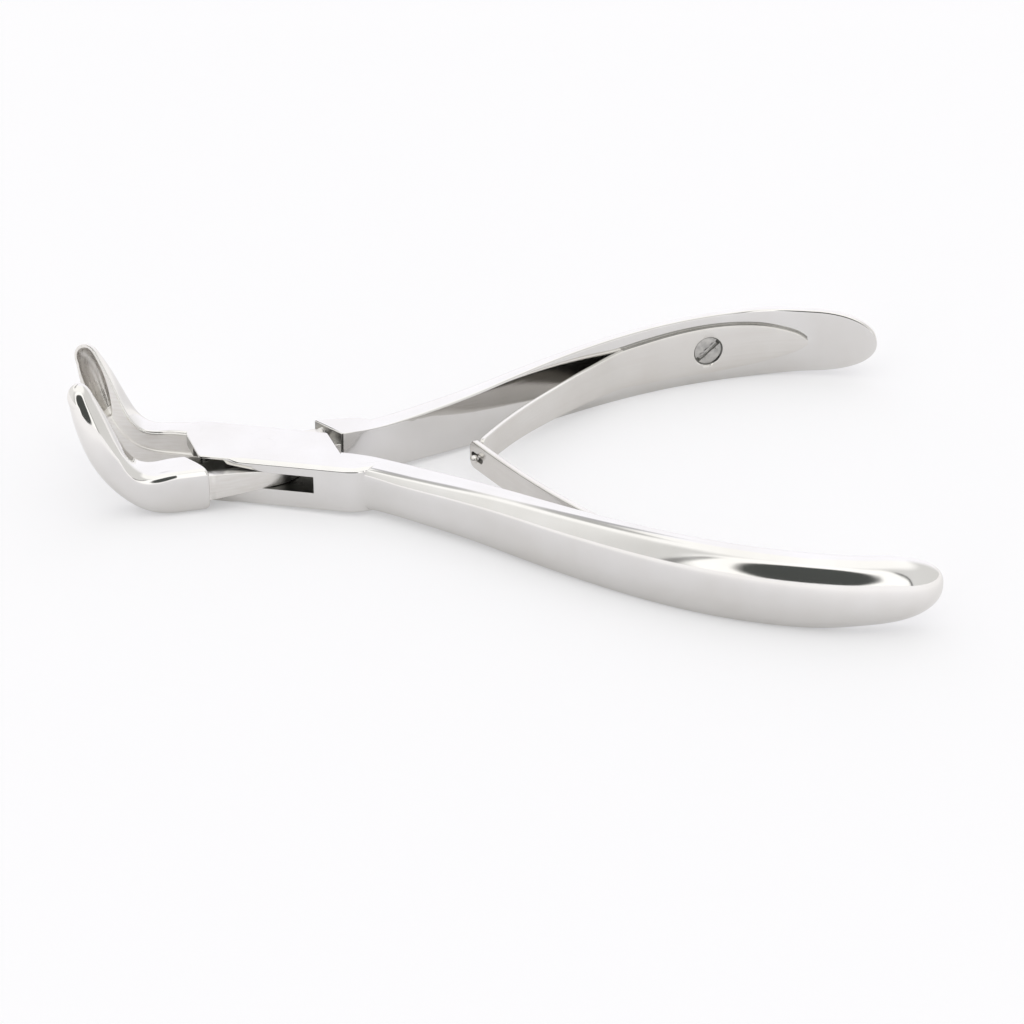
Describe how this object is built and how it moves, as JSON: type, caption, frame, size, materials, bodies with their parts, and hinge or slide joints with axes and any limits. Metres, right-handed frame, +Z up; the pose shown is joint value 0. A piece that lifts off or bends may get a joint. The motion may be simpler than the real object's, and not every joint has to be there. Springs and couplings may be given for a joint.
{
  "type": "bone rongeur",
  "caption": "Hand-held bone rongeur: a box lock joins two forged halves with upturned cupped jaws, sprung open by two leaf springs whose tips hook together.",
  "frame": {"origin": "On the pivot axis, in the underside of the box lock, where the pivot pin's lower end is flush.", "axes": "+Z up along the pivot, +X towards the handles, -X towards the jaws, +Y towards the handle of the tongue half."},
  "size_m": [0.1551, 0.1044, 0.0295],
  "materials": {
    "forged_steel": "mirror polished stainless steel",
    "pin_steel": "ground and polished flush with the lock",
    "spring_steel": "polished spring steel strip",
    "screw_steel": "turned stainless steel, slotted"
  },
  "bodies": {
    "box_body": {"box_half": "forged_steel", "pivot_pin": "pin_steel", "near_spring": "spring_steel", "near_spring_screw": "screw_steel"},
    "tongue_body": {"tongue_half": "forged_steel", "far_spring": "spring_steel", "far_spring_screw": "screw_steel"}
  },
  "joints": [
    {"name": "squeeze", "type": "hinge", "parent": "box_body", "child": "tongue_body", "pos_m": [0, 0, 0.00465], "axis": [0, 0, -1], "range_deg": [0, 26], "stiffness_Nm_per_rad": 4, "deforming": ["far_spring", "near_spring"]}
  ]
}
